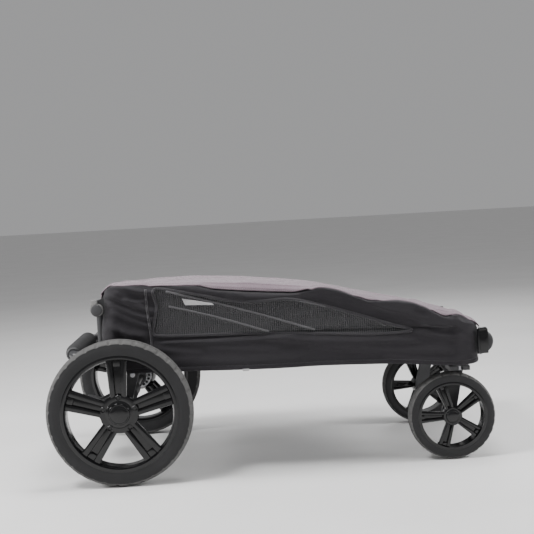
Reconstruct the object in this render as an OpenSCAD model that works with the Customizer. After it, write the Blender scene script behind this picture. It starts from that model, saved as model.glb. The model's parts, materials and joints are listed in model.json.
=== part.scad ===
// Pet stroller for large dogs, folded flat: a wheeled chassis, a roof frame hinged at its front hubs,
// a tilting push handle, swivel casters with locks and a foot brake with two pins.
// Axes: +X forward, +Y to the left, +Z up. The origin lies on the floor under the middle of the stroller.

/* [Overall] */
// Half of the overall length, from the rear tyre to the front bumper
half_len = 472.5; // [460:0.5:480]
// Distance between the rear and the front axle
wheelbase = 700; // [690:1:710]
// Distance between the middle planes of the rear wheels
rear_track = 520; // [516:1:530]
// Distance between the middle planes of the front wheels
front_track = 400; // [396:1:404]

/* [Wheels] */
// Outer radius of the rear tyres
rear_r = 152.5; // [150:0.5:154]
// Width of the rear tyres
rear_tyre_w = 48; // [44:1:48]
// Outer radius of the front tyres
front_r = 93; // [90:0.5:95]
// Width of the front tyres
front_tyre_w = 40; // [34:1:41]
// Number of twin spokes in each wheel
spokes = 5; // [4:1:6]
// Turn of the front wheels' spokes from straight back, in degrees
front_spoke_turn = 0; // [-20:1:20]

/* [Chassis] */
// Height of the side rails' centre line
rail_z = 240; // [238:1:242]
// Radius of the side rails
rail_r = 11; // [9:0.5:11]
// Distance of the side rails from the middle
rail_y = 205; // [203:1:206]
// Top of the cabin's floor board
floor_top = 258; // [257:0.5:259]
// Thickness of the floor pad
pad_t = 18; // [10:1:20]

/* [Cabin cloth] */
// Distance from the middle to the outer face of the lower skirt
skirt_y = 227; // [226:0.5:228]
// Lower edge of the skirt
skirt_low = 212; // [208:1:214]
// Upper edge of the skirt
skirt_top = 290; // [284:1:292]
// Thickness of the cloth walls
cloth_t = 4; // [3:0.5:4]

/* [Roof frame] */
// Rise of the roof tubes' arch above their chord
roof_sagitta = 48; // [44:1:60]
// Radius of the roof tubes
roof_tube_r = 9; // [7:0.5:9]
// Distance of the roof tubes from the middle
roof_y = 206; // [205:0.5:207]

/* [Handle] */
// Distance of the handle's arms from the middle
handle_y = 165; // [150:1:170]
// Radius of the foam grip
grip_r = 17; // [15:0.5:17]

/* [Hidden] */
$fn = 48;
slip = 0.1;                                   // radial clearance of a running fit
gap = 0.5;                                    // side gap between parts that pass each other
rear_x = rear_r - half_len;
front_x = rear_x + wheelbase;
rear_y = rear_track / 2;
front_y = front_track / 2;
spoke_rim_share = 0.78;                       // the rims' outer radius as a share of the tyres'
axle_r = 6;
bearing_r = 14;
disc_r = 30;
rear_hub_r = 40;
front_hub_r = 21.5;
brake_pcd_r = 24;
brake_holes = 16;
brake_disc_in = rear_y - rear_tyre_w / 2 - 6; // inner face of the brake discs
caster_trail = 22;
stem_x = front_x + caster_trail;
stem_r = 8;
fork_y = front_y - front_tyre_w / 2 - 9;      // middle of each fork's arm
hub = [447, 251];                             // axis of the fold, in X and Z
hub_r = 24;
hub_out_y = [212, 228];                       // the chassis half of each fold hub, in Y
hub_in_y = [198, 211.5];                      // the roof half of each fold hub, in Y
roof_end = [-345, 378];                       // rear end of the roof tubes, in X and Z
pivot = [-359, 364];                          // axis of the handle, in X and Z
pivot_r = 10;
pivot_half = 232;
chord = roof_end - hub;
chord_len = norm(chord);
arch_r = (chord_len * chord_len / 4 + roof_sagitta * roof_sagitta) / (2 * roof_sagitta);
chord_n = [chord[1], -chord[0]] / chord_len;  // points up from the chord
arch_c = (hub + roof_end) / 2 - chord_n * (arch_r - roof_sagitta);
function arch_angle(p) = atan2(p[1] - arch_c[1], p[0] - arch_c[0]);
function arch_z(x) = arch_c[1] + sqrt(arch_r * arch_r - (x - arch_c[0]) * (x - arch_c[0]));
arch_from = arch_angle(hub) + 1.1;
arch_to = arch_angle(roof_end);
grip_x = -427;
grip_z = 263;
skirt_x = [-347, 421];
black = [0.05, 0.05, 0.055];
dark = [0.12, 0.12, 0.125];
cloth_black = [0.09, 0.085, 0.09];
steel = [0.5, 0.5, 0.52];

// Puts a shape drawn about +Z onto the axis through (x, z), from y0 along +Y.
module along_y(x, y0, z) translate([x, y0, z]) rotate([-90, 0, 0]) children();
// A rod along Y from y0 to y1.
module rod_y(x, z, y0, y1, r) along_y(x, y0, z) cylinder(h = y1 - y0, r = r);
// A ring along Y from y0 to y1.
module ring_y(x, z, y0, y1, r, bore) along_y(x, y0, z) difference() {
    cylinder(h = y1 - y0, r = r);
    translate([0, 0, -1]) cylinder(h = y1 - y0 + 2, r = bore);
}
// An outline drawn in X and Z, as thick as y0 to y1.
module plate_y(y0, y1) translate([0, y1, 0]) rotate([90, 0, 0]) linear_extrude(y1 - y0) children();
// The same shape on the left (side 1) or on the right (side -1).
module on_side(side) { if (side > 0) children(); else mirror([0, 1, 0]) children(); }

// ---- chassis ----
module rail(side) color(black) on_side(side) translate([rear_x - 15, rail_y, rail_z]) rotate([0, 90, 0])
    cylinder(h = hub[0] - 26 - (rear_x - 15), r = rail_r);
module cross_tube(x) color(black) rod_y(x, rail_z + 3, -rail_y + rail_r - 0.7, rail_y - rail_r + 0.7, rail_r - 2);
module floor_board() color(dark) translate([-340, -196, floor_top - 6]) cube([740, 392, 6]);
module floor_pad() color(cloth_black) translate([-330, -174, floor_top]) cube([725, 348, pad_t]);
module skirt_cloth() color(cloth_black) difference() {
    translate([skirt_x[0], -skirt_y, skirt_low])
        cube([skirt_x[1] - skirt_x[0], 2 * skirt_y, skirt_top - skirt_low]);
    translate([skirt_x[0] + cloth_t, -skirt_y + cloth_t, skirt_low - 1])
        cube([skirt_x[1] - skirt_x[0] + 1, 2 * (skirt_y - cloth_t), skirt_top - skirt_low + 2]);
}
module rear_axle() color(steel) rod_y(rear_x, rear_r, -rear_y - rear_tyre_w / 2, rear_y + rear_tyre_w / 2, axle_r);
module axle_sleeve() color(black) ring_y(rear_x, rear_r, -214, 214, 11, axle_r);
module axle_bracket(side) color(dark) on_side(side) difference() {
    union() {
        plate_y(196, 214) polygon([
            [rear_x - 16, rear_r], [rear_x + 16, rear_r], [rear_x + 44, rail_z - 4], [rear_x + 44, rail_z],
            [rear_x - 12, rail_z], [rear_x - 12, rail_z - 4]
        ]);
        rod_y(rear_x, rear_r, 196, 214, 19);
    }
    rod_y(rear_x, rear_r, 195, 215, 11);
    translate([rear_x - 60, rail_y, rail_z]) rotate([0, 90, 0]) cylinder(h = 200, r = rail_r);
    rod_y(rear_x, rear_r + brake_pcd_r, 195, 215, 3.5 + slip);
}
module caster_housings() color(dark) for (side = [1, -1]) on_side(side) difference() {
    union() {
        translate([stem_x, front_y, 200]) cylinder(h = rail_z - 200, r = 19);
        translate([stem_x - 30, front_y - 14, 226]) cube([44, 28, rail_z - 226]);
    }
    translate([stem_x, front_y, 199]) cylinder(h = 32, r = stem_r + slip);
    translate([stem_x - 60, rail_y, rail_z]) rotate([0, 90, 0]) cylinder(h = 100, r = rail_r);
    translate([stem_x - 40, front_y - 6 - gap, 199]) cube([33.5, 12 + 2 * gap, 26]);
}
// The left caster housing's own space, which its neighbours leave free.
module housing_room() {
    translate([stem_x, front_y, 190]) cylinder(h = rail_z - 190 + 0.1, r = 19.1);
    translate([stem_x - 31, front_y - 14.1, 225]) cube([45.1, 28.2, rail_z - 225 + 0.1]);
}
module fold_hub_outer(side) color(black) on_side(side) difference() {
    union() {
        rod_y(hub[0], hub[1], hub_out_y[0], hub_out_y[1], hub_r);
        translate([hub[0] - 40, 190, rail_z - 14]) cube([14, 32, 26]);
        translate([hub[0] - 40, 215.5, rail_z - 14]) cube([40, 6.5, 26]);
    }
    translate([hub[0] - 60, rail_y, rail_z]) rotate([0, 90, 0]) cylinder(h = 34, r = rail_r);
    housing_room();
    rod_y(hub[0], hub[1], hub_out_y[0] - 1, hub_out_y[0] + 6, 8 + slip);
    rod_y(hub[0], hub[1], hub_out_y[0] + 9, hub_out_y[1] + 1, 9 + slip);
}
module fold_button(side) color([0.4, 0.4, 0.42]) on_side(side)
    rod_y(hub[0], hub[1], hub_out_y[0] + 12, hub_out_y[1] + 3, 9);
module front_bumper() color(black) {
    bow = 12;
    half = 190;
    r = 10;
    bow_r = (half * half + bow * bow) / (2 * bow);
    sweep = asin(half / bow_r);
    translate([half_len - r - bow_r, 0, rail_z - 12]) rotate([0, 0, -sweep])
        rotate_extrude(angle = 2 * sweep, $fn = 96) translate([bow_r, 0]) circle(r = r);
    for (side = [1, -1]) on_side(side) difference() {
        translate([hub[0] - 40, 178, rail_z - 18]) cube([44, 12, 12]);
        housing_room();
    }
}
module frame_bolts() color(steel) for (side = [1, -1]) on_side(side) {
    for (x = [rear_x + 26, rear_x]) rod_y(x, rail_z - 18, 214, 217, 5);
    for (x = [-150, 60, 270]) translate([x, 186, floor_top]) cylinder(h = 2.5, r = 5);
}

// ---- wheels, drawn about +Z and laid along Y, outer face towards +Z ----
// A tyre's cross-section: a rounded tread over two flat sidewalls.
module tyre_2d(r, r_in, w) intersection() {
    translate([r_in, -w / 2]) square([r - r_in, w]);
    hull() {
        translate([r_in, -w / 2 + 3]) square([1, w - 6]);
        for (s = [1, -1]) translate([r - 13, s * (w / 2 - 9)]) circle(r = 9, $fn = 64);
        translate([r - w * 0.75, 0]) circle(r = w * 0.75, $fn = 160);
    }
}
module tyre(r, w) rotate_extrude($fn = 96) difference() {
    tyre_2d(r, r * spoke_rim_share, w);
    for (s = [1, -1]) translate([r + 0.2, s * w * 0.17]) circle(r = 2, $fn = 24);
}
// Twin spokes between the hub and the barrel, joined by a recessed web.
module twin_spokes(r_in, r_out, width, face, turn) for (i = [0 : spokes - 1]) rotate([0, 0, turn + 360 / spokes * i]) {
    for (s = [1, -1]) translate([r_in, s * width * 0.33 - width * 0.14, face - 16 + s * 0.2])
        cube([r_out - r_in, width * 0.28, 16 - s * 0.2]);
    translate([r_in + 1, -width * 0.3, face - 14.5]) cube([r_out - r_in - 1.5, width * 0.6, 6.5]);
    translate([r_out - 15, -width * 0.25, face - 13.5]) cube([14.2, width * 0.5, 10.5]);
}
module rim(r, w, width, face, turn, bore, mid_r) {
    out = r * spoke_rim_share;
    difference() {
        union() {
            rotate_extrude($fn = 96) polygon([
                [out - 9, -w / 2 + 2], [out, -w / 2 + 2], [out, w / 2 - 2], [out - 9, w / 2 - 2]
            ]);
            twin_spokes(mid_r * 0.6, out - 4, width, face, turn);
            translate([0, 0, -w / 2 + 4]) cylinder(h = face + w / 2 - 3, r = mid_r);
        }
        translate([0, 0, -w]) cylinder(h = 2 * w, r = bore);
        for (i = [0 : spokes - 1]) rotate([0, 0, turn + 360 / spokes * i])
            translate([mid_r - 5, 0, face - 1]) cylinder(h = 3, r = mid_r * 0.08);
    }
}
module cap(r, t) rotate_extrude() polygon([[0, 0], [r, 0], [r, t * 0.4], [r - 2, t * 0.8], [r * 0.6, t], [0, t]]);
module rear_wheel_at(side) on_side(side) along_y(rear_x, rear_y, rear_r) children();
module front_wheel_at(side) on_side(side) along_y(front_x, front_y, front_r) children();
rear_face = rear_tyre_w / 2 - 5;
front_face = front_tyre_w / 2 - 3;
module rear_tyre(side) color(dark) rear_wheel_at(side) tyre(rear_r, rear_tyre_w);
module rear_rim(side) color(black) rear_wheel_at(side) rim(rear_r, rear_tyre_w, 46, rear_face, -90, bearing_r, rear_hub_r);
module rear_cap(side) color(black) rear_wheel_at(side) translate([0, 0, rear_face + 1]) difference() {
    cap(22.5, 6);
    translate([0, 0, -1]) cylinder(h = rear_tyre_w / 2 - rear_face + 0.5, r = axle_r + 1);
}
module rear_bearings(side) color(steel) rear_wheel_at(side) for (z = [-rear_tyre_w / 2 + 5, rear_face - 9])
    translate([0, 0, z]) difference() {
        cylinder(h = 8, r = bearing_r);
        translate([0, 0, -1]) cylinder(h = 10, r = axle_r + slip);
    }
module brake_disc(side) color(steel) on_side(side) along_y(rear_x, brake_disc_in, rear_r) difference() {
    cylinder(h = 10, r = disc_r);
    translate([0, 0, -1]) cylinder(h = 12, r = 11 + slip + 0.5);
    for (i = [0 : brake_holes - 1]) rotate([0, 0, 360 / brake_holes * i - 90])
        translate([brake_pcd_r, 0, -1]) cylinder(h = 12, r = 4, $fn = 24);
}
module front_tyre(side) color(dark) front_wheel_at(side) tyre(front_r, front_tyre_w);
module front_rim(side) color(black) front_wheel_at(side)
    rim(front_r, front_tyre_w, 24, front_face, 180 - front_spoke_turn, axle_r + slip, front_hub_r);
module front_cap(side) color(black) front_wheel_at(side) translate([0, 0, front_face + 1]) cap(14, 5);

// ---- casters ----
module fork(side) color(dark) on_side(side) difference() {
    union() {
        plate_y(fork_y - 6, fork_y + 6) hull() {
            translate([front_x, front_r]) circle(r = 15);
            translate([stem_x - 12, 193]) square([26, 5]);
        }
        translate([stem_x - 24, fork_y - 6, front_r * 2 + 3.5]) cube([44, front_y - fork_y + 20, 9.5]);
    }
    rod_y(front_x, front_r, fork_y - 7, fork_y + 7, axle_r);
    translate([stem_x, front_y, front_r * 2]) cylinder(h = 20, r = stem_r);
    for (turn = [0 : 90 : 270]) translate([stem_x, front_y, 186]) rotate([0, 0, turn])
        translate([-15 - gap, -4 - gap, 0]) cube([8 + 2 * gap, 8 + 2 * gap, 20]);
}
module fork_stem(side) color(steel) on_side(side) {
    translate([stem_x, front_y, front_r * 2 + 3.5]) cylinder(h = 229 - front_r * 2 - 3.5, r = stem_r);
    rod_y(front_x, front_r, fork_y - 9, front_y + front_face - 1, axle_r);
}
module swivel_lock(side) color([0.5, 0.1, 0.08]) on_side(side) {
    translate([stem_x - 15 + gap, front_y - 4, 201]) cube([7 - gap, 8, 21]);
    translate([stem_x - 34, front_y - 6, 210]) cube([20, 12, 6]);
}

// ---- brake ----
module brake_pedal() color(dark) {
    ring_y(rear_x, rear_r, -40, 40, 18, 11 + slip);
    for (y = [-34, 26]) translate([0, y, 0]) plate_y(0, 8)
        polygon([[rear_x - 12, rear_r + 11], [rear_x - 12, rear_r - 12], [rear_x - 74, 122], [rear_x - 80, 134]]);
    plate_y(-45, 45) polygon([[rear_x - 62, 126], [rear_x - 70, 122], [rear_x - 106, 134], [rear_x - 104, 144], [rear_x - 76, 136]]);
}
module brake_pin(side) color(steel) on_side(side) {
    rod_y(rear_x, rear_r + brake_pcd_r, 186, brake_disc_in - 1, 3.5);
    rod_y(rear_x, rear_r + brake_pcd_r, 180, 186, 7);
}

// ---- roof frame ----
module roof_tube(side) color(black) on_side(side) {
    translate([arch_c[0], roof_y, arch_c[1]]) rotate([90, 0, 0]) rotate([0, 0, arch_from])
        rotate_extrude(angle = arch_to - arch_from, $fn = 240) translate([arch_r, 0]) circle(r = roof_tube_r, $fn = 24);
    rod_y(hub[0], hub[1], hub_in_y[0], hub_in_y[1], hub_r - 1);
    plate_y(hub_in_y[0] + 1, hub_in_y[1]) translate(hub) rotate(arch_from + 90) translate([8, -7]) square([36, 14]);
    rod_y(hub[0], hub[1], hub_in_y[1] - 1, hub_out_y[0] + 5, 8);
}
module roof_bow(x) color(black)
    rod_y(x, arch_z(x), -roof_y + roof_tube_r - 0.7, roof_y - roof_tube_r + 0.7, roof_tube_r - 2);
module roof_corners() color(dark) for (side = [1, -1]) on_side(side) difference() {
    plate_y(198, 217) hull() {
        translate(roof_end + [6, -1]) circle(r = 14, $fn = 32);
        translate(pivot) circle(r = 15, $fn = 32);
    }
    rod_y(pivot[0], pivot[1], 197, 218, pivot_r);
    translate([arch_c[0], roof_y, arch_c[1]]) rotate([90, 0, 0]) rotate([0, 0, arch_to - 4])
        rotate_extrude(angle = 4.01, $fn = 240) translate([arch_r, 0]) circle(r = roof_tube_r + 0.05, $fn = 24);
}
module pivot_tube() color(black) {
    rod_y(pivot[0], pivot[1], -pivot_half + 4, pivot_half - 4, pivot_r);
    for (side = [1, -1]) on_side(side) rod_y(pivot[0], pivot[1], pivot_half - 4, pivot_half, pivot_r + 1.5);
}
// ---- cabin cloth ----
roof_cloth_r = arch_r + roof_tube_r + 4;
module roof_cloth() color([0.62, 0.6, 0.62]) translate([arch_c[0], 215, arch_c[1]]) rotate([90, 0, 0])
    linear_extrude(430) intersection() {
        difference() {
            circle(r = roof_cloth_r + cloth_t, $fn = 360);
            circle(r = roof_cloth_r, $fn = 360);
        }
        polygon([[0, 0], roof_cloth_ray(408), roof_cloth_ray(-330)]);
    }
function roof_cloth_ray(x) = 2 * [x - arch_c[0], arch_z(x) - arch_c[1]];
module side_cloth(side) color(cloth_black) on_side(side) plate_y(218, 222) polygon(concat(
    [for (i = [0 : 12]) let (x = 400 - i * 730 / 12) [x, arch_z(x) + 14]],
    [[-334, 296], [100, 293], [330, 288], [400, 276]]
));
module rear_cloth() color(cloth_black) translate([-340, -148, 312]) cube([4, 296, 66]);

// ---- push handle ----
handle_r = 9;
elbow = 20;
corner = 30;
module arm(side) on_side(side) {
    ring_y(pivot[0], pivot[1], handle_y - 14, handle_y + 11.5, 17, pivot_r + slip);
    translate([pivot[0], handle_y, grip_z + elbow]) cylinder(h = pivot[1] - 15 - grip_z - elbow, r = handle_r);
    translate([pivot[0] - elbow, handle_y, grip_z + elbow]) rotate([90, 0, 0]) rotate([0, 0, -90])
        rotate_extrude(angle = 90) translate([elbow, 0]) circle(r = handle_r);
    translate([grip_x + corner, handle_y, grip_z]) rotate([0, 90, 0])
        cylinder(h = pivot[0] - elbow - grip_x - corner, r = handle_r);
    translate([grip_x + corner, handle_y - corner, grip_z]) rotate([0, 0, 90])
        rotate_extrude(angle = 90) translate([corner, 0]) circle(r = handle_r);
}
module handle_loop() color(black) {
    for (side = [1, -1]) arm(side);
    rod_y(grip_x, grip_z, -handle_y + corner, handle_y - corner, handle_r);
}
module handle_grip() color(dark) ring_y(grip_x, grip_z, -128, 128, grip_r, handle_r);
module tilt_button(side) color([0.4, 0.4, 0.42]) on_side(side)
    ring_y(pivot[0], pivot[1], handle_y + 14 + 3, handle_y + 22, 12, pivot_r + slip);

rail(1);  // rail_left
rail(-1);  // rail_right
cross_tube(rear_x + 2);  // rear_cross_tube
cross_tube(60);  // mid_cross_tube
cross_tube(330);  // front_cross_tube
floor_board();
floor_pad();
skirt_cloth();
rear_axle();
axle_sleeve();
axle_bracket(1);  // axle_bracket_left
axle_bracket(-1);  // axle_bracket_right
caster_housings();
fold_hub_outer(1);  // fold_hub_outer_left
fold_hub_outer(-1);  // fold_hub_outer_right
fold_button(1);  // fold_button_left
fold_button(-1);  // fold_button_right
front_bumper();
frame_bolts();
rear_tyre(1);  // rear_tyre_left
rear_rim(1);  // rear_rim_left
rear_cap(1);  // rear_cap_left
rear_bearings(1);  // rear_bearings_left
brake_disc(1);  // brake_disc_left
rear_tyre(-1);  // rear_tyre_right
rear_rim(-1);  // rear_rim_right
rear_cap(-1);  // rear_cap_right
rear_bearings(-1);  // rear_bearings_right
brake_disc(-1);  // brake_disc_right
fork(1);  // fork_left
fork_stem(1);  // fork_stem_left
fork(-1);  // fork_right
fork_stem(-1);  // fork_stem_right
front_tyre(1);  // front_tyre_left
front_rim(1);  // front_rim_left
front_cap(1);  // front_cap_left
front_tyre(-1);  // front_tyre_right
front_rim(-1);  // front_rim_right
front_cap(-1);  // front_cap_right
swivel_lock(1);  // swivel_lock_left
swivel_lock(-1);  // swivel_lock_right
brake_pedal();
brake_pin(1);  // brake_pin_left
brake_pin(-1);  // brake_pin_right
roof_tube(1);  // roof_tube_left
roof_tube(-1);  // roof_tube_right
roof_bow(-170);  // roof_bow_rear
roof_bow(120);  // roof_bow_front
roof_corners();
pivot_tube();
roof_cloth();
side_cloth(1);  // side_cloth_left
side_cloth(-1);  // side_cloth_right
rear_cloth();
handle_loop();
handle_grip();
tilt_button(1);  // tilt_button_left
tilt_button(-1);  // tilt_button_right
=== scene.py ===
"""Pet stroller, folded flat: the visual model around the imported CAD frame. Metres, +X forward, +Z up."""

import json
import math

import bmesh
import bpy
import numpy as np
from mathutils import Matrix, Vector


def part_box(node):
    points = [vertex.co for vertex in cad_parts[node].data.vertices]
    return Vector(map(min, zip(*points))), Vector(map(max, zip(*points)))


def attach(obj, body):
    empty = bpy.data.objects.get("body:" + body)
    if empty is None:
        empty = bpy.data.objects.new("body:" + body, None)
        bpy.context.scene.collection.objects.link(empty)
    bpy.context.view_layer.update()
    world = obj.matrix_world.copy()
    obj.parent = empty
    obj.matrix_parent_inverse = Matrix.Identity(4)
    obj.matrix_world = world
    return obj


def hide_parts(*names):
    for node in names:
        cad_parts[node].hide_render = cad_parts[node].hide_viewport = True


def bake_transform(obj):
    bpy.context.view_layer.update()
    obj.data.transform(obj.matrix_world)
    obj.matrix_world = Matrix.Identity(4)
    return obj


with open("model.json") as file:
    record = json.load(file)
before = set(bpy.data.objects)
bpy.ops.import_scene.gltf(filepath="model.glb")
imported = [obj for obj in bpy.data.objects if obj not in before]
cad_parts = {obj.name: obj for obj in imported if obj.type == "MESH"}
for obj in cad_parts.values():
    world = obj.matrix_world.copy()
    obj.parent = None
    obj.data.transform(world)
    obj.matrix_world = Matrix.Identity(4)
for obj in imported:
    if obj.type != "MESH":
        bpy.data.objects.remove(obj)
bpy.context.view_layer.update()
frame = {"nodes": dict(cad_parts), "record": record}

# ---------------------------------------- sizes shared with the CAD frame
MM = 0.001
REAR_X, REAR_Z, REAR_Y = -0.320, 0.1525, 0.260
FRONT_X, FRONT_Z, FRONT_Y = 0.380, 0.093, 0.200
HUB = np.array([0.447, 0.251])          # fold axis in X and Z
ROOF_END = np.array([-0.345, 0.378])    # rear end of the roof tubes in X and Z
PIVOT_X, PIVOT_Z = -0.359, 0.364        # handle axis
GRIP_X, GRIP_Z = -0.427, 0.263          # middle of the folded handle's grip
SIDES = (("left", 1), ("right", -1))


# ---------------------------------------- camera, lights, floor
CAMERA_PLACE = (-0.0702, -2.5257, 0.5703)
CAMERA_LENS = 74.16                     # mm, on a 36 mm sensor
# Each lamp's name, place, aim, disc size and power.
LAMPS = (
    ("key", (-1.3, -0.9, 2.4), (0, 0, 0.2), 0.7, 56), ("fill", (2.6, -2.0, 1.3), (0, 0, 0.2), 0.5, 19),
    ("top", (0.3, -0.1, 3.0), (0, 0, 0.2), 1.2, 52), ("back", (0.6, 2.6, 2.2), (0, 0, 0.2), 1.4, 28),
    ("rim_left", (-2.4, -1.9, 0.9), (0, 0, 0.15), 0.35, 8),
    ("edge_left", (-2.0, -0.40, 1.0), (-0.2, -0.25, 0.15), 0.6, 30),
    ("edge_right", (2.0, -0.40, 1.2), (0.2, -0.25, 0.15), 0.6, 30),
)


def make_camera():
    yaw, pitch, roll = 0.0311, 0.0591, -0.0555
    look = Vector((math.sin(yaw) * math.cos(pitch), math.cos(yaw) * math.cos(pitch), -math.sin(pitch)))
    right = Vector((math.cos(yaw), -math.sin(yaw), 0))
    up = right.cross(look)
    c, s = math.cos(roll), math.sin(roll)
    right, up = c * right + s * up, -s * right + c * up
    data = bpy.data.cameras.new("camera")
    data.sensor_width, data.lens = 36, CAMERA_LENS
    cam = bpy.data.objects.new("camera", data)
    bpy.context.collection.objects.link(cam)
    turn = Matrix((right, up, -look)).transposed()
    cam.matrix_world = Matrix.Translation(CAMERA_PLACE) @ turn.to_4x4()
    bpy.context.scene.camera = cam


def area_light(name, place, aim, size, power):
    data = bpy.data.lights.new(name, "AREA")
    data.shape, data.size, data.energy = "DISK", size, power
    light = bpy.data.objects.new(name, data)
    light.location = place
    light.rotation_mode = "QUATERNION"
    light.rotation_quaternion = (Vector(aim) - Vector(place)).to_track_quat("-Z", "Y")
    bpy.context.collection.objects.link(light)


def link(name, mesh, mat):
    obj = bpy.data.objects.new(name, mesh)
    bpy.context.collection.objects.link(obj)
    mesh.materials.append(mat)
    return obj


# ---------------------------------------- materials
class Mat:
    """A Principled material and short ways to add texture nodes to it."""

    def __init__(self, name, colour, rough, coords="Object", **sockets):
        self.mat = bpy.data.materials.new(name)
        self.mat.use_nodes = True
        self.tree = self.mat.node_tree
        self.bsdf = self.tree.nodes["Principled BSDF"]
        self.bsdf.inputs["Base Color"].default_value = (*colour, 1)
        self.bsdf.inputs["Roughness"].default_value = rough
        for key, value in sockets.items():
            self.bsdf.inputs[key.replace("_", " ")].default_value = value
        self.coords = self.tree.nodes.new("ShaderNodeTexCoord").outputs[coords]

    def node(self, kind, inputs=None, **settings):
        made = self.tree.nodes.new("ShaderNode" + kind)
        for key, value in settings.items():
            setattr(made, key, value)
        for key, value in (inputs or {}).items():
            if isinstance(value, bpy.types.NodeSocket):
                self.tree.links.new(value, made.inputs[key])
            else:
                made.inputs[key].default_value = value
        return made

    def vec(self, scale):
        return self.node("Mapping", {"Vector": self.coords, "Scale": scale}).outputs[0]

    def noise(self, scale, detail=3, rough=0.55, stretch=(1, 1, 1)):
        vec = self.coords if stretch == (1, 1, 1) else self.vec(stretch)
        return self.node("TexNoise", {"Vector": vec, "Scale": scale, "Detail": detail,
                                      "Roughness": rough}).outputs["Fac"]

    def wave(self, scale, axis, distort=0.0):
        return self.node("TexWave", {"Vector": self.coords, "Scale": scale, "Distortion": distort,
                                     "Detail": 1.0, "Detail Scale": 2.0}, bands_direction=axis).outputs["Fac"]

    def ramp(self, fac, *stops):
        made = self.node("ValToRGB", {"Fac": fac})
        ends = made.color_ramp.elements
        while len(ends) < len(stops):
            ends.new(0.5)
        for end, (at, colour) in zip(ends, stops):
            end.position = at
            end.color = (*colour, 1) if hasattr(colour, "__len__") else (colour, colour, colour, 1)
        return made.outputs["Color"]

    def math(self, kind, a, b):
        return self.node("Math", {0: a, 1: b}, operation=kind).outputs[0]

    def mix(self, fac, a, b):
        a, b = (c if isinstance(c, bpy.types.NodeSocket) else (*c, 1) for c in (a, b))
        return self.node("Mix", {0: fac, 6: a, 7: b}, data_type="RGBA").outputs[2]

    def bump(self, height, strength, distance, normal=None):
        inputs = {"Height": height, "Strength": strength, "Distance": distance}
        if normal is not None:
            inputs["Normal"] = normal
        return self.node("Bump", inputs).outputs["Normal"]

    def set(self, **links):
        for key, value in links.items():
            self.tree.links.new(value, self.bsdf.inputs[key.replace("_", " ")])
        return self


WAVE = 0.31416    # a wave texture's scale is this over its period in metres


def shade(colour, k):
    return tuple(c * k for c in colour)


def weave_height(m, pitch):
    """Over-and-under threads, pitch metres apart, on UVs in metres."""
    a = m.wave(WAVE / pitch, "X", 0.4)
    b = m.wave(WAVE / pitch, "Y", 0.4)
    return m.math("MULTIPLY", a, b)


def cloth(name, colour, rough, heather=0.0, pitch=0.0011, sheen=0.25, coords="UV"):
    m = Mat(name, colour, rough, coords, Sheen_Weight=sheen, Sheen_Roughness=0.45, Specular_IOR_Level=0.3)
    fibre = m.noise(420, 4, 0.7, (1, 0.22, 1))
    cloudy = m.noise(9 if heather < 0.5 else 230, 3, 0.75)
    thread = weave_height(m, pitch)
    base = m.ramp(fibre, (0.32, shade(colour, 1 - heather)), (0.5, colour), (0.7, shade(colour, 1 + heather)))
    base = m.mix(m.ramp(cloudy, (0.35, 0.0), (0.75, 0.45)), base, shade(colour, 0.72 if heather < 0.5 else 0.55))
    # painted shade: the base colour is darker at the weave's low points, between the threads
    base = m.mix(m.ramp(thread, (0.0, 0.5), (0.5, 0.0)), base, shade(colour, 0.6))
    height = m.math("ADD", thread, m.math("MULTIPLY", fibre, 0.6))
    soft = m.bump(m.noise(38, 4, 0.6), 0.28 if heather < 0.5 else 0.13, 0.004)
    rough_map = m.ramp(m.noise(60, 3), (0.2, rough - 0.08), (0.8, min(1.0, rough + 0.06)))
    return m.set(Base_Color=base, Roughness=rough_map, Normal=m.bump(height, 0.5, 0.0004, soft)).mat


def plastic(name, colour, rough, grain=900, depth=0.00012, **sockets):
    m = Mat(name, colour, rough, **sockets)
    wear = m.noise(26, 5, 0.65)
    base = m.mix(m.ramp(wear, (0.4, 0.0), (0.8, 0.5)), colour, shade(colour, 1.6))
    rough_map = m.ramp(m.noise(70, 4, 0.6), (0.25, max(0.05, rough - 0.07)), (0.8, rough + 0.1))
    return m.set(Base_Color=base, Roughness=rough_map, Normal=m.bump(m.noise(grain, 2), 0.5, depth)).mat


def metal(name, colour, rough):
    m = Mat(name, colour, rough, Metallic=1.0)
    streak = m.noise(300, 4, 0.7, (1, 0.06, 1))
    base = m.ramp(streak, (0.3, shade(colour, 0.75)), (0.7, colour))
    rough_map = m.ramp(streak, (0.2, rough - 0.08), (0.8, rough + 0.12))
    return m.set(Base_Color=base, Roughness=rough_map, Normal=m.bump(streak, 0.25, 0.0001)).mat


def rubber(name, colour, rough):
    m = Mat(name, colour, rough, Specular_IOR_Level=0.35)
    dust = m.noise(14, 6, 0.7)
    base = m.mix(m.ramp(dust, (0.42, 0.0), (0.78, 0.55)), colour, shade(colour, 2.2))
    rough_map = m.ramp(dust, (0.3, rough - 0.08), (0.7, min(1.0, rough + 0.05)))
    pores = m.noise(1400, 3, 0.6)
    return m.set(Base_Color=base, Roughness=rough_map, Normal=m.bump(pores, 0.6, 0.0002)).mat


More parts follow.
